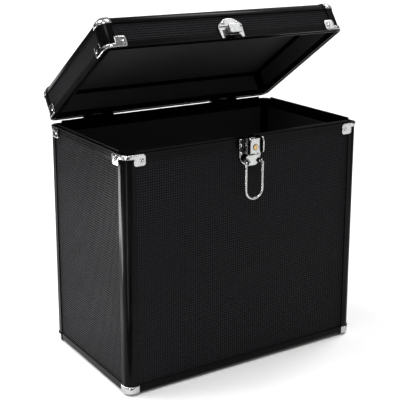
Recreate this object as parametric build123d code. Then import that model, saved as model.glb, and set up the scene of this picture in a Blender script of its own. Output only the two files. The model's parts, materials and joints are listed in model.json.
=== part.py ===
"""Record carrying case: a boxed body and a hinged lid, both of embossed boards held in black aluminium
profiles, with steel corner fittings, a draw latch with a key lock, and a folding carry handle.

Frame: X to the right, Y to the back, Z up. The origin is on the floor under the middle of the body.
The lid is built shut and then turned open about its hinges, which is how the case stands at rest.
Distances named w are heights above the parting plane, where the lid meets the body, and distances named v
are measured outwards from the front or back face of the case.
"""

from build123d import *
import math
import os

# ---------------------------------------------------------------- driving dimensions (millimetres, degrees)
case_width = 345.0
case_depth = 200.0
body_height = 295.0  # underside of the bottom edges to the parting plane
lid_height = 42.0  # parting plane to the top of the lid
lid_open = 34.5  # how far the lid stands open at rest
corner_radius = 10.0  # the upright outside edges
base_radius = 4.0  # the edges round the bottom
lid_radius = 10.0  # the edges round the top of the lid
parting_gap = 0.3  # between the closed lid and the body

panel_thickness = 4.0  # laminated board
profile_skin = 1.5  # outer wall of the aluminium profiles
profile_back = 1.2  # inner wall of the aluminium profiles
post_flat = 15.0  # width of each face of a corner post
edge_flat = 11.0  # width of each face of a bottom or top edge
slot_play = 0.5  # between a board's edge and the floor of its slot
web = 1.5  # solid metal behind a profile's slots
body_rim_height = 11.0
lid_rim_height = 7.5
rim_head = 4.5  # solid metal above the board in a rim profile
rim_groove_depth = 0.5
rim_groove_height = 0.8
rim_groove_pitch = 3.2
lip_height = 3.0  # tongue on the body's rim, inside the lid's rim
lip_thickness = 2.0
lip_inset = 2.2  # outer face of the tongue behind the case's outer face
lip_gap = 0.3  # above and outside the tongue
lip_swing_gap = 1.0  # inside the tongue, which the lid swings across
lip_end_gap = 0.5
lining_thickness = 2.0
lining_margin = 0.3

foot_radius = 8.0
foot_stand = 2.5  # how far the feet hold the bottom edges off the floor
foot_inset = 26.0

cap_wall = 1.0
cap_leg = 15.5  # along the horizontal edges
cap_rise = 10.5  # up the corner posts
fit_gap = 0.1  # between a pressed fitting and the profile under it
bracket_wall = 1.2
bracket_strip = 5.0  # height of the strip round the corner
bracket_top = 0.6  # fittings stop this far short of the parting plane
bracket_plate_start = 12.0
bracket_plate_width = 15.0
bracket_plate_height = 13.5
bracket_plate_round = 3.0
bracket_rivet_along = 10.2  # from the plate's inner end
bracket_rivet_drop = 7.3

rivet_head_radius = 2.2
rivet_head_height = 1.1
rivet_shank_radius = 1.4
rivet_shank_gap = 0.05
rivet_length = 5.0  # under the head

hinge_inset = 72.5  # middle of each hinge in from the side of the case
hinge_width = 44.0
hinge_leaf_height = 26.0
hinge_leaf = 1.5
hinge_offset = 5.0  # hinge axis behind the back face
knuckle_radius = 3.2
hinge_pin_radius = 1.6
hinge_gap = 0.3  # between knuckles along the pin
cut_past = 1.0  # how far cutting tools run past a surface
running_gap = 0.05  # radial clearance of pins that turn
hinge_rivet_spacing = 15.0

latch_width = 31.6
latch_drop = 35.0  # parting plane to the bottom of the latch's base
latch_plate = 1.2
ear_spacing = 17.3  # between the base's ears
ear_wall = 1.5
ear_reach = 16.0
ear_top = 3.0  # above the parting plane
ear_bottom = 18.0  # below the parting plane
ear_round = 5.0
side_gap = 0.3  # on each side of the lever between the ears
lever_wall = 1.2
lever_face = 12.0
lever_top = 0.5
lever_bottom = 17.0
lever_back = 3.0
lever_pin_v = 8.5
lever_pin_w = -2.0
lever_pin_radius = 1.25
lever_rim = 1.0  # top wall of the lever
tongue_face = 7.6
tongue_drop = 33.0
tongue_top = 14.0
tongue_ear_top = 20.5
tongue_slot = 3.0  # height of the opening between the lever's face and its tongue
tongue_slot_side = 1.6  # metal left beside the opening
bail_pivot_v = 10.0
bail_pivot_w = -28.0
bail_wire_radius = 1.6
bail_inner_width = 21.0
bail_end_depth = 3.8  # how far the bent ends reach in past the legs' inner faces
bail_bend = 1.95
bail_hook_clear = 0.45  # between the hooked bail and the hook's shelf
tongue_boss_radius = 3.0

plug_radius = 2.8
plug_w = -9.5
plug_proud = 0.8
plug_inner_v = 4.2
keyway_width = 0.9
keyway_height = 3.4
keyway_depth = 1.2
cam_length = 5.6
cam_width = 3.0
cam_thickness = 1.2
strike_gap = 0.3
strike_wall = 0.8
strike_inset = 1.0  # the strike's lip starts this far beside the plug
latch_rivet_x = 13.0
latch_rivet_upper = 8.0
latch_rivet_lower = 18.0
latch_rivet_bottom = 30.0

keeper_width = 35.0
keeper_top = 26.5
keeper_shoulder = 16.0
keeper_crown = 0.8  # the upper part stands this much proud of the feet
keeper_foot = 0.9
keeper_foot_width = 5.0
keeper_foot_chamfer = 1.0
keeper_opening = 21.6
keeper_opening_top = 4.5
hook_width = 15.5
hook_reach = 10.0
hook_wall = 1.4
hook_bottom = 3.5
hook_shelf = 12.5
hook_lip = 3.0
keeper_rivet_x = 10.3
keeper_rivet_w = 20.5

handle_spacing = 104.0  # between the middles of the two brackets
handle_bracket_width = 15.0
handle_bracket_depth = 34.0
handle_bracket_plate = 1.5
handle_ear_wall = 1.8
handle_ear_radius = 5.5
handle_pivot_height = 7.5
handle_pin_radius = 2.0
handle_arm_width = 8.0
handle_arm_gap = 0.3
handle_arm_radius = 4.5
handle_reach = 34.0  # pivot to the middle of the grip
grip_width = 20.0
grip_thickness = 15.0
grip_round = 6.0
handle_plate_round = 4.0
handle_rivet_reach = 12.5
grip_clear = 1.2  # between the folded grip and the lid's top board

# ---------------------------------------------------------------- derived sizes
half_width = case_width / 2
half_depth = case_depth / 2
base_z = foot_stand
parting_z = base_z + body_height
lid_top_z = parting_z + lid_height
board_out = profile_skin  # outer face of every board behind the case's outer face
board_in = profile_skin + panel_thickness
profile_depth = board_in + profile_back
slot_floor = profile_depth - profile_back + web
board_edge = slot_floor + slot_play
hinge_y = half_depth + hinge_offset
lining_in = board_in + lining_thickness
cam_reach = math.hypot(cam_length, cam_width / 2)
bail_leg_x = bail_inner_width / 2 + bail_wire_radius
hook_seat_v = (latch_plate + hook_reach - hook_wall) / 2  # the hooked wire is midway behind the lip
hook_seat_w = hook_shelf + bail_wire_radius
hook_tilt = math.atan2(bail_pivot_v - hook_seat_v, hook_seat_w - bail_pivot_w)
hook_corner_drop = math.sqrt((bail_inner_width / 2) ** 2 - (hook_width / 2) ** 2)
bail_arc_drop = (hook_shelf - bail_pivot_w) / math.cos(hook_tilt) - hook_corner_drop + bail_hook_clear

parts = {}


# ---------------------------------------------------------------- helpers
def block(x, y, z):
    """A box from three (low, high) pairs, in either order."""
    (x0, x1), (y0, y1), (z0, z1) = sorted(x), sorted(y), sorted(z)
    return Pos((x0 + x1) / 2, (y0 + y1) / 2, (z0 + z1) / 2) * Box(x1 - x0, y1 - y0, z1 - z0)


def rod(start, direction, radius, length):
    """A cylinder from a point along a direction."""
    plane = Plane(origin=start, z_dir=direction)
    return plane * Cylinder(radius, length, align=(Align.CENTER, Align.CENTER, Align.MIN))


def front_prism(points, v0, v1):
    """Extrudes an outline of (x, w) points from v0 to v1 in front of the case's front face."""
    face = make_face(Polyline(*[(x, -half_depth - v0, parting_z + w) for x, w in points], close=True))
    return extrude(face, amount=v1 - v0, dir=(0, -1, 0))


def front_rod(x, w, v0, v1, radius):
    return rod((x, -half_depth - v0, parting_z + w), (0, -1, 0), radius, v1 - v0)


def cross_rod(v, w, x0, x1, radius):
    """A cylinder along X at v in front of the front face."""
    return rod((x0, -half_depth - v, parting_z + w), (1, 0, 0), radius, x1 - x0)


def front_block(x, v, w):
    return block(x, [-half_depth - d for d in v], [parting_z + h for h in w])


def side_prism(points, x0, x1):
    """Extrudes an outline of (y, z) points along X."""
    face = make_face(Polyline(*[(x0, y, z) for y, z in points], close=True))
    return extrude(face, amount=x1 - x0, dir=(1, 0, 0))


def rounded_form(low_z, high_z, round_end, end_radius, grow=0.0):
    """The case's outer form between two heights, with its upright edges and one end's edges rounded."""
    form = block(
        (-half_width - grow, half_width + grow),
        (-half_depth - grow, half_depth + grow),
        (low_z - (grow if round_end == "bottom" else 0), high_z + (grow if round_end == "top" else 0)),
    )
    form = fillet(form.edges().filter_by(Axis.Z), corner_radius + grow)
    end = form.faces().sort_by(Axis.Z)[0 if round_end == "bottom" else -1]
    return fillet(end.edges(), end_radius + grow)


def inward(side, low, high):
    """The X or Y range between two distances inside one side of the case."""
    sign = -1 if side in ("left", "front") else 1
    half = half_width if side in ("left", "right") else half_depth
    return sign * (half - low), sign * (half - high)


sides = ("front", "back", "left", "right")
corners = tuple((y_side, x_side) for y_side in ("front", "back") for x_side in ("left", "right"))


# ---------------------------------------------------------------- one half of the case
class Half:
    """The body or the lid: which way up it is, its outer form and its heights."""

    def __init__(self, name, end_z, open_z, up, end_radius):
        self.name = name
        self.end_z = end_z  # the closed end: the body's bottom or the lid's top
        self.open_z = open_z  # the open end, at the parting plane
        self.up = up  # +1 where the open end is above the closed end
        self.round_end = "bottom" if up > 0 else "top"
        self.end_radius = end_radius
        self.form = self.grown(0)

    def from_end(self, distance):
        return self.end_z + self.up * distance

    def from_open(self, distance):
        return self.open_z - self.up * distance

    def grown(self, grow):
        heights = sorted((self.end_z, self.open_z))
        return rounded_form(*heights, self.round_end, self.end_radius, grow)

    def shell(self, gap, wall):
        """The space between two offsets of the half's outer form, for fittings pressed over it."""
        return self.grown(gap + wall) - self.grown(gap)


body = Half("body", base_z, parting_z, +1, base_radius)
lid = Half("lid", lid_top_z, parting_z + parting_gap, -1, lid_radius)


def along(side, margin):
    """The range of a piece that runs along one side, short of both corners by a margin."""
    half = half_width if side in ("front", "back") else half_depth
    return -half + margin, half - margin


def on_side(side, inset, run, heights):
    """A block on one side of the case: its inset range, its run along the side and its heights."""
    if side in ("front", "back"):
        return block(run, inward(side, *inset), heights)
    return block(inward(side, *inset), run, heights)


def corner_post(half, y_side, x_side):
    """An L-shaped upright with a slot in each arm for a board, rounded on its outside edge."""
    heights = (half.end_z, half.open_z)

    def column(x_low, x_high, y_low, y_high):
        return block(inward(x_side, x_low, x_high), inward(y_side, y_low, y_high), heights)

    post = column(0, post_flat, 0, post_flat) - column(profile_depth, post_flat, profile_depth, post_flat)
    post -= column(board_out, board_in, slot_floor, post_flat)
    post -= column(slot_floor, post_flat, board_out, board_in)
    return post & half.form


def end_edge(half, side):
    """The profile between a wall and the closed end, with a slot for each of the two boards."""
    run = along(side, post_flat)

    def bar(inset_low, inset_high, rise_low, rise_high):
        heights = (half.from_end(rise_low), half.from_end(rise_high))
        return on_side(side, (inset_low, inset_high), run, heights)

    edge = bar(0, edge_flat, 0, edge_flat) - bar(profile_depth, edge_flat, profile_depth, edge_flat)
    edge -= bar(board_out, board_in, slot_floor, edge_flat)
    edge -= bar(slot_floor, edge_flat, board_out, board_in)
    return edge & half.form


def rim_profile(half, side, height):
    """The profile round the open end: a slot for the wall's board and two shadow grooves outside."""
    run = along(side, post_flat)

    def bar(inset, drop_low, drop_high, run=run):
        return on_side(side, inset, run, (half.from_open(drop_low), half.from_open(drop_high)))

    rim = bar((0, profile_depth), 0, height) - bar((board_out, board_in), rim_head, height)
    for n in (1, 2):
        drop = n * rim_groove_pitch
        rim -= bar((0, rim_groove_depth), drop - rim_groove_height / 2, drop + rim_groove_height / 2)
    lip_run = along(side, post_flat + lip_end_gap)
    if half is body:
        return rim + bar((lip_inset, lip_inset + lip_thickness), -lip_height, web, lip_run)
    groove = (lip_inset - lip_gap, lip_inset + lip_thickness + lip_swing_gap)
    return rim - bar(groove, 0, lip_height + lip_gap - parting_gap)


def wall_board(half, side):
    heights = (half.from_end(board_edge), half.from_open(rim_head + slot_play))
    return on_side(side, (board_out, board_in), along(side, board_edge), heights)


def end_board(half):
    heights = (half.from_end(board_out), half.from_end(board_in))
    return block(along("front", board_edge), along("left", board_edge), heights)


def lining(half, rim_height):
    """Thin pads glued to the inside of the boards, between the profiles' inner walls."""
    heights = (half.from_end(edge_flat + lining_margin), half.from_open(rim_height + lining_margin))
    depth = (board_in, lining_in)
    pads = [on_side(side, depth, along(side, post_flat + lining_margin), heights) for side in sides]
    margin = edge_flat + lining_margin
    floor_heights = (half.from_end(board_in), half.from_end(lining_in))
    return pads + [block(along("front", margin), along("left", margin), floor_heights)]


def corner_caps(half):
    """A rounded three-way cap over each outer corner of the closed end."""
    shell = half.shell(fit_gap, cap_wall)
    beyond = cap_wall + fit_gap
    heights = (half.from_end(-beyond), half.from_end(cap_rise))
    caps = []
    for y_side, x_side in corners:
        reach = block(inward(x_side, -beyond, cap_leg), inward(y_side, -beyond, cap_leg), heights)
        caps.append(shell & reach)
    return caps


def bracket_plate(half, side, x_side, y_side):
    """The space of a bracket's plate on one face, with rounded corners."""
    start, end = bracket_plate_start, bracket_plate_start + bracket_plate_width
    heights = (half.from_open(bracket_top), half.from_open(bracket_top + bracket_plate_height))
    depth = (-bracket_wall - fit_gap, profile_skin)
    if side in ("front", "back"):
        plate = block(inward(x_side, start, end), inward(side, *depth), heights)
        return fillet(plate.edges().filter_by(Axis.Y), bracket_plate_round)
    plate = block(inward(side, *depth), inward(y_side, start, end), heights)
    return fillet(plate.edges().filter_by(Axis.X), bracket_plate_round)


def rim_brackets(half):
    """A strip round each corner of the open end, ending in a riveted plate on each face."""
    shell = half.shell(fit_gap, bracket_wall)
    beyond = bracket_wall + fit_gap
    strip_reach = bracket_plate_start + bracket_plate_round
    strip_heights = (half.from_open(bracket_top), half.from_open(bracket_top + bracket_strip))
    brackets = []
    for y_side, x_side in corners:
        x_range = inward(x_side, -beyond, strip_reach)
        space = block(x_range, inward(y_side, -beyond, strip_reach), strip_heights)
        space += bracket_plate(half, y_side, x_side, y_side)
        space += bracket_plate(half, x_side, x_side, y_side)
        brackets.append(shell & space)
    return brackets


# ---------------------------------------------------------------- rivets
def rivet(seat, outward, length=rivet_length):
    """A domed head on its seat and a shank behind it."""
    sphere_radius = (rivet_head_radius**2 + rivet_head_height**2) / (2 * rivet_head_height)
    plane = Plane(origin=seat, z_dir=outward)
    ball = plane * (Pos(0, 0, rivet_head_height - sphere_radius) * Sphere(sphere_radius))
    head = ball & rod(seat, outward, rivet_head_radius + cut_past, rivet_head_height)
    inward_direction = tuple(-d for d in outward)
    return head + rod(seat, inward_direction, rivet_shank_radius, length)


def rivet_hole(seat, outward, length=rivet_length):
    """The clearance hole of a rivet's shank, open at the seat."""
    start = tuple(p + cut_past * d for p, d in zip(seat, outward))
    inward_direction = tuple(-d for d in outward)
    return rod(start, inward_direction, rivet_shank_radius + rivet_shank_gap, length + cut_past + slot_play)


def drill(names, seats, length=rivet_length):
    """Cuts the holes of a set of rivets out of the named parts that they pass through."""
    for name in names:
        for seat, outward in seats:
            hole = rivet_hole(seat, outward, length)
            near = hole.bounding_box()
            parts[name] = [p - hole if near.overlaps(p.bounding_box()) else p for p in parts[name]]


def bracket_seats(half):
    """Where the rivets of one half's rim brackets sit, with their outward directions."""
    along_edge = bracket_plate_start + bracket_rivet_along
    proud = -(fit_gap + bracket_wall)
    z = half.from_open(bracket_rivet_drop)
    seats = []
    for y_side, x_side in corners:
        x_out, y_out = (-1 if x_side == "left" else 1), (-1 if y_side == "front" else 1)
        seats.append(((inward(x_side, along_edge, 0)[0], inward(y_side, proud, 0)[0], z), (0, y_out, 0)))
        seats.append(((inward(x_side, proud, 0)[0], inward(y_side, along_edge, 0)[0], z), (x_out, 0, 0)))
    return seats


# ---------------------------------------------------------------- body and lid
for half, end_name, rim_height in ((body, "bottom", body_rim_height), (lid, "top", lid_rim_height)):
    for y_side, x_side in corners:
        parts[f"{half.name}_post_{y_side}_{x_side}"] = [corner_post(half, y_side, x_side)]
    for side in sides:
        parts[f"{half.name}_{end_name}_edge_{side}"] = [end_edge(half, side)]
        parts[f"{half.name}_rim_{side}"] = [rim_profile(half, side, rim_height)]
        parts[f"{half.name}_board_{side}"] = [wall_board(half, side)]
    parts[f"{half.name}_board_{end_name}"] = [end_board(half)]
    parts[f"{half.name}_lining"] = lining(half, rim_height)
    parts[f"{half.name}_corner_caps"] = corner_caps(half)
    parts[f"{half.name}_rim_brackets"] = rim_brackets(half)

parts["feet"] = [
    rod((x, y, 0), (0, 0, 1), foot_radius, base_z + board_out)
    for x in (foot_inset - half_width, half_width - foot_inset)
    for y in (foot_inset - half_depth, half_depth - foot_inset)
]


# ---------------------------------------------------------------- hinges
hinge_middles = {"left": hinge_inset - half_width, "right": half_width - hinge_inset}
knuckle_length = (hinge_width - 2 * hinge_gap) / 3
hinge_rivet_w = (hinge_leaf_height + max(body_rim_height, lid_rim_height)) / 2 + hinge_leaf


def hinge_leaf_solid(middle, up, rim_height, segments):
    """A leaf stepped from the rim down onto the board, with its knuckles; up is +1 for the lid's leaf."""

    def outline(points, x0, x1):
        return side_prism([(half_depth + y, parting_z + up * w) for y, w in points], x0, x1)

    top = knuckle_radius - hinge_leaf
    step = rim_height + parting_gap
    left, right = middle - hinge_width / 2, middle + hinge_width / 2
    plate = outline(
        [
            (0, top),
            (0, step),
            (-board_out, step),
            (-board_out, hinge_leaf_height),
            (hinge_leaf - board_out, hinge_leaf_height),
            (hinge_leaf - board_out, step + hinge_leaf),
            (hinge_leaf, step),
            (hinge_leaf, top),
        ],
        left,
        right,
    )
    bridge = [(0, top), (0, knuckle_radius), (hinge_offset, knuckle_radius), (hinge_offset, top)]
    for n in segments:
        x0 = left + n * (knuckle_length + hinge_gap)
        x1 = x0 + knuckle_length
        plate += outline(bridge, x0, x1)
        plate += rod((x0, hinge_y, parting_z), (1, 0, 0), knuckle_radius, x1 - x0)
    bore = hinge_pin_radius + (running_gap if up > 0 else 0)  # the pin is fixed in the body's leaf
    return plate - rod((left - cut_past, hinge_y, parting_z), (1, 0, 0), bore, hinge_width + 2 * cut_past)


def hinge_seats(up):
    """The rivets of the hinge leaves on one half."""
    return [
        ((middle + dx, half_depth + hinge_leaf - board_out, parting_z + up * hinge_rivet_w), (0, 1, 0))
        for middle in hinge_middles.values()
        for dx in (-hinge_rivet_spacing, 0, hinge_rivet_spacing)
    ]


for side, middle in hinge_middles.items():
    parts[f"hinge_lower_leaf_{side}"] = [hinge_leaf_solid(middle, -1, body_rim_height, (0, 2))]
    parts[f"hinge_upper_leaf_{side}"] = [hinge_leaf_solid(middle, +1, lid_rim_height, (1,))]
parts["hinge_pins"] = [
    rod((middle - hinge_width / 2, hinge_y, parting_z), (1, 0, 0), hinge_pin_radius, hinge_width)
    for middle in hinge_middles.values()
]


# ---------------------------------------------------------------- latch on the body
def raised_plate(face, keep_skirt):
    """A pressed plate: a flat front and, where it stands off the board, a skirt that reaches back to it."""
    plate = extrude(face, amount=latch_plate, dir=(0, -1, 0))
    ring = extrude(face - offset(face, amount=-latch_plate), amount=board_out, dir=(0, 1, 0))
    return plate + (ring & keep_skirt)


latch_half = latch_width / 2
ear_inner = ear_spacing / 2
ear_outer = ear_inner + ear_wall
lever_half = ear_inner - side_gap
tongue_half = ear_outer - running_gap
front_plane = Plane(origin=(0, -half_depth, parting_z), x_dir=(1, 0, 0), z_dir=(0, -1, 0))


def latch_base():
    round_w = latch_half - latch_drop
    flat_height = -bracket_top - round_w
    outline = Pos(0, round_w + flat_height / 2) * Rectangle(latch_width, flat_height)
    outline += Pos(0, round_w) * Circle(latch_half)
    beside_board = (-latch_drop - cut_past, -body_rim_height - fit_gap)
    skirt_space = front_block((-latch_width, latch_width), (-board_out, 0), beside_board)
    base = raised_plate(front_plane * outline, skirt_space)
    ear = [
        (latch_plate / 2, -ear_bottom),
        (latch_plate / 2, -bracket_top),
        (latch_plate + 2 * fit_gap, ear_top),
        (ear_reach, ear_top),
        (ear_reach, -ear_bottom),
    ]
    for x0 in (-ear_outer, ear_inner):
        solid = side_prism([(-half_depth - v, parting_z + w) for v, w in ear], x0, x0 + ear_wall)
        front_edges = solid.edges().filter_by(Axis.X).sort_by(Axis.Y)[:2]
        base += fillet(front_edges, ear_round)
    strike_top = plug_inner_v + cam_thickness + strike_gap
    strike_face = strike_top + strike_wall
    inner = cam_reach + strike_gap
    outer = inner + strike_wall
    heights = (plug_w - cam_width, plug_w + cam_width)
    base += front_block((inner, outer), (latch_plate / 2, strike_face), heights)
    base += front_block((plug_radius + strike_inset, outer), (strike_top, strike_face), heights)
    pin_reach = ear_outer + cut_past
    return base - cross_rod(lever_pin_v, lever_pin_w, -pin_reach, pin_reach, lever_pin_radius)


def lever():
    """A channel with the lock in its face, stepped down to a finger tongue that carries the bail."""
    tongue_back = tongue_face - lever_wall
    inner = lever_half - lever_wall
    across = (-lever_half, lever_half)
    heights = (-lever_bottom, lever_top)
    solid = front_block(across, (lever_face - lever_wall, lever_face), heights)
    solid += front_block(across, (lever_pin_v, lever_face), (lever_top - lever_rim, lever_top))
    for x in ((-lever_half, -inner), (inner, lever_half)):
        solid += front_block(x, (lever_back, lever_face), heights)
    solid += front_block(across, (tongue_back, tongue_face), (-tongue_ear_top - lever_wall, -tongue_top))
    solid += front_prism(
        [
            (-tongue_half, -tongue_ear_top),
            (tongue_half, -tongue_ear_top),
            (tongue_half, bail_pivot_w - tongue_boss_radius / 2),
            (tongue_half / 3, -tongue_drop),
            (-tongue_half / 3, -tongue_drop),
            (-tongue_half, bail_pivot_w - tongue_boss_radius / 2),
        ],
        tongue_back,
        tongue_face,
    )
    boss_heights = (bail_pivot_w - tongue_boss_radius, bail_pivot_w + tongue_boss_radius)
    for x0 in (-tongue_half, tongue_half - lever_wall):
        x1 = x0 + lever_wall
        solid += front_block((x0, x1), (tongue_back, bail_pivot_v), boss_heights)
        solid += cross_rod(bail_pivot_v, bail_pivot_w, x0, x1, tongue_boss_radius)
    solid -= front_rod(0, plug_w, tongue_back, lever_face + cut_past, plug_radius + running_gap)
    slot_x = lever_half - tongue_slot_side
    slot_w = (-lever_bottom - tongue_slot, -lever_bottom)
    solid -= front_block((-slot_x, slot_x), (tongue_back - cut_past, tongue_face + cut_past), slot_w)
    pin_bore = cross_rod(lever_pin_v, lever_pin_w, -ear_outer, ear_outer, lever_pin_radius + running_gap)
    bail_bore = cross_rod(bail_pivot_v, bail_pivot_w, -ear_outer, ear_outer, bail_wire_radius + running_gap)
    return solid - pin_bore - bail_bore


def key_plug():
    """The lock's plug, its keyway and the cam on its inner end."""
    plug = front_rod(0, plug_w, plug_inner_v, lever_face + plug_proud, plug_radius)
    cam_depth = (plug_inner_v, plug_inner_v + cam_thickness)
    plug += front_block((-cam_width / 2, cam_width / 2), cam_depth, (plug_w - cam_length, plug_w))
    slot_v = (lever_face + plug_proud - keyway_depth, lever_face + plug_proud + cut_past)
    slot_w = (plug_w - keyway_height / 2, plug_w + keyway_height / 2)
    return plug - front_block((-keyway_width / 2, keyway_width / 2), slot_v, slot_w)


def bail():
    """A closed-ended loop of wire whose bent ends turn in the lever's tongue, hanging straight down."""

    def at(x, w):
        return (x, -half_depth - bail_pivot_v, parting_z + w)

    def leg(side):
        end, corner = at(side * end_x, bail_pivot_w), at(side * bail_leg_x, bail_pivot_w)
        return FilletPolyline(end, corner, at(side * bail_leg_x, arc_w), radius=bail_bend)

    end_x = bail_inner_width / 2 - bail_end_depth
    arc_w = bail_pivot_w - bail_arc_drop
    arc = ThreePointArc(at(bail_leg_x, arc_w), at(0, arc_w - bail_leg_x), at(-bail_leg_x, arc_w))
    path = leg(1) + arc + leg(-1)
    section = Plane(origin=at(end_x, bail_pivot_w), z_dir=(1, 0, 0)) * Circle(bail_wire_radius)
    return sweep(section, path=path)


latch_seats = [
    ((x, -half_depth - latch_plate, parting_z + w), (0, -1, 0))
    for x, w in (
        (-latch_rivet_x, -latch_rivet_upper),
        (latch_rivet_x, -latch_rivet_upper),
        (-latch_rivet_x, -latch_rivet_lower),
        (latch_rivet_x, -latch_rivet_lower),
        (0, -latch_rivet_bottom),
    )
]
parts["latch_base"] = [latch_base()]
parts["latch_lever"] = [lever()]
parts["latch_lever_pin"] = [cross_rod(lever_pin_v, lever_pin_w, -ear_outer, ear_outer, lever_pin_radius)]
parts["latch_bail"] = [bail()]
parts["lock_plug"] = [key_plug()]


# ---------------------------------------------------------------- keeper on the lid
def keeper():
    """An arched plate with two feet and, between them, a boxed hook whose lip holds the bail."""
    half = keeper_width / 2
    foot = half - keeper_foot_width
    opening = keeper_opening / 2
    lower = Polyline(
        (-half, keeper_shoulder),
        (keeper_foot_chamfer - half, keeper_foot),
        (-foot, keeper_foot),
        (-opening, keeper_opening_top),
        (opening, keeper_opening_top),
        (foot, keeper_foot),
        (half - keeper_foot_chamfer, keeper_foot),
        (half, keeper_shoulder),
    )
    crown = ThreePointArc((half, keeper_shoulder), (0, keeper_top), (-half, keeper_shoulder))
    beside_board = (lid_rim_height + parting_gap + fit_gap, keeper_top + cut_past)
    skirt_space = front_block((-half, half), (-board_out, 0), beside_board)
    plate = raised_plate(front_plane * make_face(lower + crown), skirt_space)
    crown_face = front_plane * make_face(crown + Line((half, keeper_shoulder), (-half, keeper_shoulder)))
    plate += extrude(crown_face, amount=latch_plate + keeper_crown, dir=(0, -1, 0))
    side = hook_width / 2
    across = (-side, side)
    plate += front_block(across, (latch_plate / 2, hook_reach), (hook_shelf - hook_wall, hook_shelf))
    plate += front_block(across, (hook_reach - hook_wall, hook_reach), (hook_bottom, hook_shelf + hook_lip))
    for x in ((-side, hook_wall - side), (side - hook_wall, side)):
        plate += front_block(x, (latch_plate / 2, hook_reach), (hook_bottom + hook_wall, hook_shelf))
    return plate


keeper_face_y = -half_depth - latch_plate - keeper_crown
keeper_seats = [
    ((x, keeper_face_y, parting_z + keeper_rivet_w), (0, -1, 0)) for x in (-keeper_rivet_x, keeper_rivet_x)
]
parts["keeper"] = [keeper()]


# ---------------------------------------------------------------- carry handle on the lid
handle_seat = lid_top_z - board_out
handle_plate_top = handle_seat + handle_bracket_plate
handle_axis_z = handle_seat + handle_pivot_height
handle_middles = (-handle_spacing / 2, handle_spacing / 2)
ear_inside = handle_arm_width / 2 + handle_arm_gap


def handle_bracket(middle):
    half_plate = handle_bracket_width / 2
    depth = (-handle_bracket_depth / 2, handle_bracket_depth / 2)
    bracket = block((middle - half_plate, middle + half_plate), depth, (handle_seat, handle_plate_top))
    bracket = fillet(bracket.edges().filter_by(Axis.Z), handle_plate_round)
    ear_depth = (-handle_ear_radius, handle_ear_radius)
    for x0 in (middle - ear_inside - handle_ear_wall, middle + ear_inside):
        bracket += rod((x0, 0, handle_axis_z), (1, 0, 0), handle_ear_radius, handle_ear_wall)
        bracket += block((x0, x0 + handle_ear_wall), ear_depth, (handle_seat, handle_axis_z))
    bore_start = (middle - handle_bracket_width, 0, handle_axis_z)
    return bracket - rod(bore_start, (1, 0, 0), handle_pin_radius, 2 * handle_bracket_width)


def handle_grip():
    """A moulded grip with an arm at each end, folded flat towards the hinges."""
    grip_z = handle_seat + grip_clear + grip_thickness / 2
    reach = handle_spacing / 2 + handle_arm_width / 2
    grip = block(
        (-reach, reach),
        (handle_reach - grip_width / 2, handle_reach + grip_width / 2),
        (grip_z - grip_thickness / 2, grip_z + grip_thickness / 2),
    )
    grip = fillet(grip.edges().filter_by(Axis.X), grip_round)
    slope = math.atan2(grip_z - handle_axis_z, handle_reach)
    side = (-math.sin(slope) * handle_arm_radius, math.cos(slope) * handle_arm_radius)
    arm = [
        (side[0], handle_axis_z + side[1]),
        (handle_reach + side[0], grip_z + side[1]),
        (handle_reach - side[0], grip_z - side[1]),
        (-side[0], handle_axis_z - side[1]),
    ]
    for middle in handle_middles:
        x0 = middle - handle_arm_width / 2
        grip += side_prism(arm, x0, x0 + handle_arm_width)
        grip += rod((x0, 0, handle_axis_z), (1, 0, 0), handle_arm_radius, handle_arm_width)
    bore = handle_pin_radius + running_gap
    return grip - rod((-reach - cut_past, 0, handle_axis_z), (1, 0, 0), bore, 2 * (reach + cut_past))


handle_seats = [
    ((middle, y, handle_plate_top), (0, 0, 1))
    for middle in handle_middles
    for y in (-handle_rivet_reach, handle_rivet_reach)
]
parts["handle_brackets"] = [handle_bracket(middle) for middle in handle_middles]
parts["handle_grip"] = [handle_grip()]
pin_length = 2 * (ear_inside + handle_ear_wall)
parts["handle_pins"] = [
    rod((middle - pin_length / 2, 0, handle_axis_z), (1, 0, 0), handle_pin_radius, pin_length)
    for middle in handle_middles
]


# ---------------------------------------------------------------- rivets and their holes
def walls(half, fittings):
    """The parts of one half that its rivets can pass through."""
    return fittings + [f"{half.name}_{kind}_{side}" for kind in ("rim", "board") for side in sides]


lower_leaves = ["hinge_lower_leaf_left", "hinge_lower_leaf_right"]
upper_leaves = ["hinge_upper_leaf_left", "hinge_upper_leaf_right"]
rivet_sets = (
    ("body_rivets", bracket_seats(body), walls(body, ["body_rim_brackets"])),
    ("body_rivets", hinge_seats(-1), lower_leaves + ["body_board_back"]),
    ("body_rivets", latch_seats, ["latch_base", "body_rim_front", "body_board_front"]),
    ("lid_rivets", bracket_seats(lid), walls(lid, ["lid_rim_brackets"])),
    ("lid_rivets", hinge_seats(+1), upper_leaves + ["lid_board_back"]),
    ("lid_rivets", keeper_seats, ["keeper", "lid_board_front"]),
    ("lid_rivets", handle_seats, ["handle_brackets", "lid_board_top"]),
)
for name, seats, drilled in rivet_sets:
    parts[name] = parts.get(name, []) + [rivet(seat, outward) for seat, outward in seats]
    drill(drilled, seats)


# ---------------------------------------------------------------- export, with the lid open
lid_nodes = ("lid_", "hinge_upper_", "keeper", "handle_")
hinge_axis = Axis((0, hinge_y, parting_z), (-1, 0, 0))
os.makedirs("parts", exist_ok=True)
for name, solids in parts.items():
    shape = Compound([solid for piece in solids for solid in piece.solids()])
    if name.startswith(lid_nodes):
        shape = shape.rotate(hinge_axis, lid_open)
    shape.label = name
    export_step(shape, f"parts/{name}.step")
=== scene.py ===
import json
import math

import bpy
from mathutils import Matrix, Vector

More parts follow.
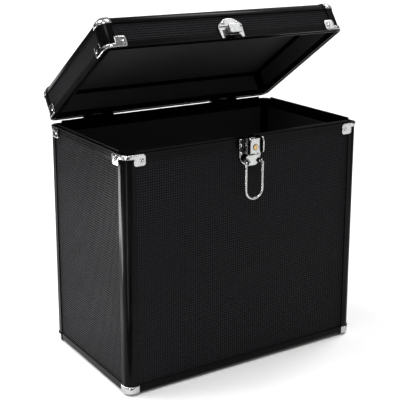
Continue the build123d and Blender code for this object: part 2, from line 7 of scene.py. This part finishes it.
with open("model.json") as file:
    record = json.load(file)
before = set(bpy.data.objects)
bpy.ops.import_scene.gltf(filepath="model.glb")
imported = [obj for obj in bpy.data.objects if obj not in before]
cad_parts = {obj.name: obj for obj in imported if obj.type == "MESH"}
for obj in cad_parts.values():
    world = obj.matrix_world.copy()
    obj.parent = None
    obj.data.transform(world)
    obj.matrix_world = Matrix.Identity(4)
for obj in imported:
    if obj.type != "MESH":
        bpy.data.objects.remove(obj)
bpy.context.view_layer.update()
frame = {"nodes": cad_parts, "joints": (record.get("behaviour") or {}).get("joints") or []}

MM = 0.001
nodes = frame["nodes"]


lid_joint = next(j for j in frame["joints"] if j["name"] == "lid_hinge")
lid_open = math.radians(-lid_joint["range_deg"][0])

# Directions in the model's frame: along the width, to the back, up, and the open lid's own two.
ALONG = Vector((1, 0, 0))
BACK = Vector((0, 1, 0))
UP = Vector((0, 0, 1))
LID_UP = Vector((0, math.sin(lid_open), math.cos(lid_open)))
LID_BACK = Vector((0, math.cos(lid_open), -math.sin(lid_open)))


# ---------------------------------------------------------------- node helpers
UNIT = (0.0, 1.0)
SPECULAR = "Specular IOR Level"
# Most values of a noise texture lie in MOST. PATCHES starts higher, so that it leaves the low ones flat.
MOST = (0.3, 0.7)
PATCHES = (0.35, 0.7)
NOISE_ROUGHNESS = 0.55
# Sockets that carry a colour in Blender's Mix node.
MIX_FIRST, MIX_SECOND, MIX_RESULT = 6, 7, 2


class Tree:
    """A material under construction, with numbers or colours for the shader's sockets."""

    def __init__(self, name, sockets):
        self.material = bpy.data.materials.new(name)
        self.material.use_nodes = True
        self.tree = self.material.node_tree
        self.shader = self.tree.nodes["Principled BSDF"]
        for socket, value in sockets.items():
            self.shader.inputs[socket].default_value = value
        self.position = self.tree.nodes.new("ShaderNodeTexCoord").outputs["Object"]

    def node(self, kind, **settings):
        made = self.tree.nodes.new(kind)
        for key, value in settings.items():
            setattr(made, key, value)
        return made

    def link(self, source, target):
        if isinstance(source, (int, float)):
            target.default_value = source
        else:
            self.tree.links.new(source, target)

    def math(self, operation, *values):
        made = self.node("ShaderNodeMath", operation=operation)
        for value, socket in zip(values, made.inputs):
            self.link(value, socket)
        return made.outputs[0]

    def dot(self, vector):
        made = self.node("ShaderNodeVectorMath", operation="DOT_PRODUCT")
        self.link(self.position, made.inputs[0])
        made.inputs[1].default_value = vector
        return made.outputs["Value"]

    def noise(self, scale, detail=3.0, stretch=None):
        made = self.node("ShaderNodeTexNoise")
        made.inputs["Scale"].default_value = scale
        made.inputs["Detail"].default_value = detail
        made.inputs["Roughness"].default_value = NOISE_ROUGHNESS
        source = self.position
        if stretch:
            mapping = self.node("ShaderNodeMapping")
            mapping.inputs["Scale"].default_value = stretch
            self.link(source, mapping.inputs["Vector"])
            source = mapping.outputs[0]
        self.link(source, made.inputs["Vector"])
        return made.outputs[0]

    def remap(self, value, span, result, smooth=False):
        made = self.node("ShaderNodeMapRange")
        made.interpolation_type = "SMOOTHSTEP" if smooth else "LINEAR"
        for number, socket in zip((*span, *result), made.inputs[1:5]):
            socket.default_value = number
        self.link(value, made.inputs[0])
        return made.outputs[0]

    def blend(self, factor, first, second):
        """Mixes two colours into the base colour."""
        made = self.node("ShaderNodeMix", data_type="RGBA")
        self.link(factor, made.inputs["Factor"])
        made.inputs[MIX_FIRST].default_value = (*first, 1)
        made.inputs[MIX_SECOND].default_value = (*second, 1)
        self.link(made.outputs[MIX_RESULT], self.shader.inputs["Base Color"])

    def roughness(self, value):
        self.link(value, self.shader.inputs["Roughness"])

    def round_edges(self, radius):
        """Shades the edges as if they were rounded. It comes before any bump."""
        made = self.node("ShaderNodeBevel", samples=6)
        made.inputs["Radius"].default_value = radius
        self.link(made.outputs["Normal"], self.shader.inputs["Normal"])

    def bump(self, height, distance, strength=1.0):
        """Adds a height map on top of the edges and bumps that are there."""
        made = self.node("ShaderNodeBump")
        made.inputs["Strength"].default_value = strength
        made.inputs["Distance"].default_value = distance
        self.link(height, made.inputs["Height"])
        previous = self.shader.inputs["Normal"].links
        if previous:
            self.link(previous[0].from_socket, made.inputs["Normal"])
        self.link(made.outputs[0], self.shader.inputs["Normal"])


# ---------------------------------------------------------------- materials
PATTERN_PITCH = 3.08 * MM
PATTERN_RISE = 0.62 * MM
# Distances from the nearest groove, in pitches, over which the pillows rise, and over which they turn
# glossy and leave the painted shade of the grooves.
PILLOW_SLOPE = (0.03, 0.40)
PILLOW_POLISH_AND_SHADE = (0.10, 0.38)
# Painted shade: the grooves get a darker colour than the pillow tops.
PAINTED_GROOVE_SHADE = (0.0020, 0.0020, 0.0026)
PILLOW_COLOUR = (0.0118, 0.0118, 0.0136)
GROOVE_DULLNESS = (0.72, 0.0)


def embossed_panel(name, across, upward):
    """Black laminate pressed with a square grid of low pillows, glossy on top and dull in the grooves,
    which carry painted shade.
    """
    tree = Tree(name, {SPECULAR: 0.10})

    def to_groove(direction):
        cells = tree.math("FRACT", tree.math("MULTIPLY", tree.dot(direction), 1 / PATTERN_PITCH))
        return tree.math("SUBTRACT", 0.5, tree.math("ABSOLUTE", tree.math("SUBTRACT", cells, 0.5)))

    depth = tree.math("MINIMUM", to_groove(across), to_groove(upward))
    pillow = tree.remap(depth, PILLOW_SLOPE, UNIT, smooth=True)
    polished_and_unshaded = tree.remap(depth, PILLOW_POLISH_AND_SHADE, UNIT, smooth=True)
    # Painted shade: the colour darkens towards the grooves as the pillows fall away.
    tree.blend(polished_and_unshaded, PAINTED_GROOVE_SHADE, PILLOW_COLOUR)
    gloss = tree.remap(tree.noise(38.0, detail=4.0), MOST, (0.21, 0.27))
    tree.roughness(tree.math("ADD", gloss, tree.remap(polished_and_unshaded, UNIT, GROOVE_DULLNESS)))
    tree.bump(tree.noise(1600.0, detail=2.0), 0.01 * MM, 0.4)
    tree.bump(pillow, PATTERN_RISE)
    return tree.material


LINE_DENSITY = {"along": 26.0, "across": 1500.0}


def anodised(name, along):
    """Satin black anodised extrusion with faint drawing lines along its length."""
    tree = Tree(name, {SPECULAR: 0.06})
    stretch = tuple(LINE_DENSITY["along" if axis else "across"] for axis in along)
    lines = tree.noise(1.0, detail=2.0, stretch=stretch)
    wear = tree.noise(22.0, detail=5.0)
    tree.blend(tree.remap(wear, PATCHES, UNIT), (0.0014, 0.0014, 0.0014), (0.0028, 0.0028, 0.0027))
    satin = tree.remap(lines, MOST, (0.19, 0.25))
    tree.roughness(tree.math("ADD", satin, tree.remap(wear, MOST, (-0.02, 0.03))))
    tree.bump(lines, 0.012 * MM, 0.35)
    return tree.material


# Painted shade: within this reach, ambient occlusion darkens crevices towards this fraction of the
# colour, which the wear patches share.
PAINTED_SHADE_REACH = 3.0 * MM
PAINTED_SHADE_AND_WEAR_DARK = 0.10
PAINTED_SHADE_SPAN = (0.80, 0.99)
FINE_SCRATCHES = (2600.0, 600.0, 600.0)
TURNED_SCRATCHES = (900.0, 900.0, 900.0)


def plated(name, colour, base_roughness, waviness, rounding, scratch=FINE_SCRATCHES):
    """Bright plated steel: slightly wavy, unevenly glossy and finely scratched, with painted shade
    darkening its crevices.

    Waviness and rounding are in millimetres.
    """
    tree = Tree(name, {"Metallic": 1.0})
    cloud = tree.noise(160.0)
    scratches = tree.noise(1.0, detail=2.0, stretch=scratch)
    # Painted shade: ambient occlusion darkens the colour in crevices and round the rivets, and the cloud
    # patches add real wear.
    painted_shade_ao = tree.node("ShaderNodeAmbientOcclusion", samples=8)
    painted_shade_ao.inputs["Distance"].default_value = PAINTED_SHADE_REACH
    unshaded = tree.remap(painted_shade_ao.outputs["AO"], PAINTED_SHADE_SPAN, UNIT, smooth=True)
    worn = tree.remap(cloud, PATCHES, (1.0, 0.8))
    tree.blend(tree.math("MULTIPLY", unshaded, worn), tuple(PAINTED_SHADE_AND_WEAR_DARK * c for c in colour), colour)
    uneven = tree.remap(cloud, MOST, (-0.03, 0.04))
    fine = tree.remap(scratches, (0.45, 0.75), (0.0, 0.06))
    tree.roughness(tree.math("ADD", tree.math("ADD", uneven, fine), base_roughness))
    tree.round_edges(rounding * MM)
    tree.bump(scratches, 0.004 * MM, 0.5)
    tree.bump(tree.noise(240.0, detail=1.0), waviness * MM)
    return tree.material


def foam_board(name):
    """Matt black lining with the fine grain of pressed foam."""
    tree = Tree(name, {SPECULAR: 0.2})
    grain = tree.noise(2400.0, detail=2.0)
    tree.blend(tree.noise(30.0), (0.0200, 0.0200, 0.0200), (0.0280, 0.0278, 0.0275))
    tree.roughness(tree.remap(grain, MOST, (0.82, 0.96)))
    tree.bump(grain, 0.06 * MM, 0.6)
    return tree.material


LEATHER_DENSITY = 900.0
LEATHER_SHADE = 0.6


def moulded(name, colour, roughness):
    """Moulded plastic or rubber with a fine leather-like grain."""
    tree = Tree(name, {SPECULAR: 0.4})
    cells = tree.node("ShaderNodeTexVoronoi", feature="DISTANCE_TO_EDGE")
    cells.inputs["Scale"].default_value = LEATHER_DENSITY
    tree.link(tree.position, cells.inputs["Vector"])
    grain = tree.remap(cells.outputs["Distance"], (0.0, 0.25), UNIT, smooth=True)
    tree.blend(grain, tuple(LEATHER_SHADE * c for c in colour), colour)
    tree.roughness(tree.remap(tree.noise(40.0), MOST, (roughness - 0.05, roughness + 0.06)))
    tree.bump(grain, 0.05 * MM, 0.7)
    return tree.material


def matt(name, scale, first, second, roughness, sockets):
    """Paint or paper of the studio, or the black of painted reflections, faintly uneven in colour."""
    tree = Tree(name, sockets)
    tree.blend(tree.noise(scale), (first, first, first), (second, second, second))
    tree.roughness(roughness)
    return tree.material


CHROME = (0.50, 0.505, 0.50)
RIVET = (0.62, 0.62, 0.61)
BRASS = (0.72, 0.50, 0.20)
materials = {
    "panel_front": embossed_panel("panel_front", ALONG, UP),
    "panel_side": embossed_panel("panel_side", BACK, UP),
    "panel_floor": embossed_panel("panel_floor", ALONG, BACK),
    "lid_panel_front": embossed_panel("lid_panel_front", ALONG, LID_UP),
    "lid_panel_side": embossed_panel("lid_panel_side", LID_BACK, LID_UP),
    "lid_panel_top": embossed_panel("lid_panel_top", ALONG, LID_BACK),
    "profile_x": anodised("profile_x", ALONG),
    "profile_y": anodised("profile_y", BACK),
    "profile_z": anodised("profile_z", UP),
    "chrome": plated("chrome_plate", CHROME, 0.10, 0.08, 1.2),
    "chrome_corner": plated("chrome_pressed_corner", CHROME, 0.09, 0.18, 2.2),
    "chrome_wire": plated("chrome_wire", CHROME, 0.20, 0.01, 0.3),
    "rivet": plated("rivet_plate", RIVET, 0.12, 0.03, 0.4),
    "brass": plated("lock_brass_turned", BRASS, 0.22, 0.02, 0.4, TURNED_SCRATCHES),
    "lining": foam_board("lining_foam"),
    "rubber": moulded("foot_rubber", (0.012, 0.012, 0.012), 0.72),
    "handle": moulded("handle_grain", (0.012, 0.012, 0.0125), 0.42),
}

# The panel that each side of the body or the lid wears, and the parts with a material of their own.
PANEL_OF_SIDE = {"back": "front", "left": "side", "right": "side", "bottom": "floor"}
MATERIAL_OF_PART = {
    "feet": "rubber",
    "lock_plug": "brass",
    "handle_grip": "handle",
    "latch_bail": "chrome_wire",
}


def material_for(name):
    if "_board_" in name:
        side = name.rsplit("_", 1)[1]
        return ("lid_panel_" if name.startswith("lid_") else "panel_") + PANEL_OF_SIDE.get(side, side)
    if "_post_" in name:
        return "profile_z"
    if name.endswith(("_corner_caps", "_rim_brackets")):
        return "chrome_corner"
    if "_edge_" in name or "_rim_" in name:
        return "profile_x" if name.endswith(("front", "back")) else "profile_y"
    if name.endswith("_lining"):
        return "lining"
    if name.endswith("_rivets"):
        return "rivet"
    return MATERIAL_OF_PART.get(name, "chrome")


# Width of the softened edges by material, in millimetres. The others stay as they are.
EDGE_WIDTHS = {
    "profile_x": 0.2,
    "profile_y": 0.2,
    "profile_z": 0.2,
    "chrome": 0.25,
    "chrome_corner": 0.3,
    "brass": 0.2,
    "lining": 0.4,
    "rubber": 0.6,
    "handle": 0.8,
}
WELD_DISTANCE = 0.001 * MM
SHARP_ANGLE = math.radians(38)

for name, part in nodes.items():
    kind = material_for(name)
    part.data.materials.clear()
    part.data.materials.append(materials[kind])
    if kind in EDGE_WIDTHS:
        # The frame's meshes are split at their sharp edges, so a weld joins them before the bevel.
        weld = part.modifiers.new("joined_faces", "WELD")
        weld.merge_threshold = WELD_DISTANCE
        bevel = part.modifiers.new("soft_edges", "BEVEL")
        bevel.width = EDGE_WIDTHS[kind] * MM
        bevel.segments = 2
        bevel.limit_method = "ANGLE"
        bevel.angle_limit = SHARP_ANGLE
        bevel.harden_normals = True

# ---------------------------------------------------------------- stage
scene = bpy.context.scene


def sheets(name, points, faces, material, unseen_by=()):
    """A mesh of flat sheets for the studio, which the named kinds of rays pass through."""
    mesh = bpy.data.meshes.new(name)
    mesh.from_pydata(points, [], faces)
    mesh.materials.append(material)
    made = bpy.data.objects.new(name, mesh)
    for ray in unseen_by:
        setattr(made, "visible_" + ray, False)
    scene.collection.objects.link(made)
    return made


REACH = 6.0
ROUND_THE_EDGE = ((-1, -1), (1, -1), (1, 1), (-1, 1))
floor_corners = [(x * REACH, y * REACH, 0) for x, y in ROUND_THE_EDGE]
floor_paint = matt("studio_floor_paint", 3.0, 0.80, 0.84, 0.9, {SPECULAR: 0.1})
floor = sheets("studio_floor", floor_corners, [(0, 1, 2, 3)], floor_paint)

# White paper stands along the floor's edges, so that low views meet no horizon. Only the camera sees it.
paper_corners = [(x * REACH, y * REACH, z * REACH) for z in (0, 1) for x, y in ROUND_THE_EDGE]
paper_walls = [(i, i + 4, (i + 1) % 4 + 4, (i + 1) % 4) for i in range(4)]
GLOW = {"Emission Strength": 1.0, "Emission Color": (1, 1, 1, 1)}
paper_white = matt("studio_paper_white", 3.0, 0.84, 0.88, 0.9, GLOW)
paper_unseen_by = ("diffuse", "glossy", "shadow", "transmission")
paper = sheets("studio_paper", paper_corners, paper_walls, paper_white, paper_unseen_by)

# Two black flags, far at the left and low at the front left. Only reflections see them: they paint
# dark reflections into the side panel, the front left post and the corner fittings.
FLAG_CORNERS = (
    ((-0.62, 0.12, 0.002), (-0.62, 0.12, 0.55), (-0.62, 1.9, 0.55), (-0.62, 1.9, 0.002)),
    ((-0.19, -0.13, 0.002), (-1.7, -0.13, 0.002), (-1.7, -1.7, 0.002), (-0.19, -1.7, 0.002)),
)
flag_points = [point for corner_points in FLAG_CORNERS for point in corner_points]
# Painted reflection: this sheet is black only in reflections, over a floor that is white to every other
# ray.
flag_cloth = matt("flag_cloth", 200.0, 0.01, 0.02, 0.95, {SPECULAR: 0.1})
flag_unseen_by = ("camera", "diffuse", "shadow", "transmission")
flag = sheets("black_flags", flag_points, [(0, 1, 2, 3), (4, 5, 6, 7)], flag_cloth, flag_unseen_by)

# ---------------------------------------------------------------- light
# Greys of the sky by the sine of the elevation: dark at the horizon and below it, brighter at
# 30 degrees up, darker again at 58 degrees, and white overhead.
SKY = ((0.0, 0.06), (0.5, 0.5), (0.85, 0.20), (1.0, 1.0))
world = bpy.data.worlds.new("studio")
scene.world = world
world.use_nodes = True
sky = world.node_tree
direction = sky.nodes.new("ShaderNodeTexCoord")
height = sky.nodes.new("ShaderNodeSeparateXYZ")
sky.links.new(direction.outputs["Generated"], height.inputs[0])
ramp = sky.nodes.new("ShaderNodeValToRGB")
stops = ramp.color_ramp.elements
for place, _ in SKY[1:-1]:
    stops.new(place)
for stop, (_, grey) in zip(stops, SKY):
    stop.color = (grey, grey, grey, 1)
sky.links.new(height.outputs["Z"], ramp.inputs["Fac"])
sky.links.new(ramp.outputs["Color"], sky.nodes["Background"].inputs["Color"])


def lamp(name, kind, energy, place, toward):
    data = bpy.data.lights.new(name, kind)
    data.energy = energy
    light = bpy.data.objects.new(name, data)
    light.location = place
    light.rotation_euler = (Vector(toward) - Vector(place)).to_track_quat("-Z", "Y").to_euler()
    light.visible_camera = False
    scene.collection.objects.link(light)
    return data


# Three wide, distant lamps light the floor evenly. Each has a direction and a strength.
SUN_WIDTH = math.radians(26)
for name, place, strength in (
    ("overhead_left", (-0.45, 0.40, 1.0), 1.7),
    ("overhead_right", (0.60, 0.10, 1.0), 1.7),
    ("overhead_front", (-0.25, -0.65, 1.0), 1.35),
):
    lamp(name, "SUN", strength, place, (0, 0, 0)).angle = SUN_WIDTH

# Softboxes shape the case. Each has a place, the point that it faces, a width, a height and a power.
BESIDE_POST = (-0.17, -0.1, 0.135)
BEFORE_POST = (-0.17, -0.1, 0.19)
LEFT_WALL = (-0.17, 0, 0.2)
LID_FRONT = (0, -0.06, 0.43)
for name, place, toward, width, tall, power in (
    ("strip_beside_post", (-0.40, 0.17, 0.135), BESIDE_POST, 0.19, 0.12, 1.3),
    ("strip_before_post", (-0.45, -0.31, 0.19), BEFORE_POST, 0.04, 0.38, 0.7),
    ("high_left", (-0.79, 1.16, 1.12), LEFT_WALL, 0.7, 0.45, 1.5),
    ("front_right", (0.90, -0.64, 1.48), LID_FRONT, 0.5, 0.4, 0.8),
):
    softbox = lamp(name, "AREA", power, place, toward)
    softbox.shape = "RECTANGLE"
    softbox.size = width
    softbox.size_y = tall

# ---------------------------------------------------------------- camera
# The focal length and the centre are in pixels of the picture, and the angles in radians.
PICTURE = 400
MIDDLE = PICTURE / 2
SENSOR = 36.0
FOCAL, YAW, PITCH, ROLL = 974.9, 0.57255, 0.24194, 0.0022
EYE = Vector((-672.2, -1031.6, 564.9)) * MM
CENTRE = (200.0, 150.0)
camera_data = bpy.data.cameras.new("camera")
camera = bpy.data.objects.new("camera", camera_data)
scene.collection.objects.link(camera)
camera_data.sensor_width = SENSOR
camera_data.sensor_fit = "HORIZONTAL"
camera_data.lens = FOCAL / PICTURE * SENSOR
camera_data.shift_x = (MIDDLE - CENTRE[0]) / PICTURE
camera_data.shift_y = (CENTRE[1] - MIDDLE) / PICTURE
camera_data.clip_start = 0.05
camera_data.clip_end = 30
forward = Vector(
    (math.sin(YAW) * math.cos(PITCH), math.cos(YAW) * math.cos(PITCH), -math.sin(PITCH))
)
level = Vector((math.cos(YAW), -math.sin(YAW), 0))
above = level.cross(forward)
right = math.cos(ROLL) * level + math.sin(ROLL) * above
top = right.cross(forward)
turned = Matrix((right, top, -forward)).transposed().to_4x4()
camera.matrix_world = Matrix.Translation(EYE) @ turned
scene.camera = camera
scene.view_settings.view_transform = "Standard"
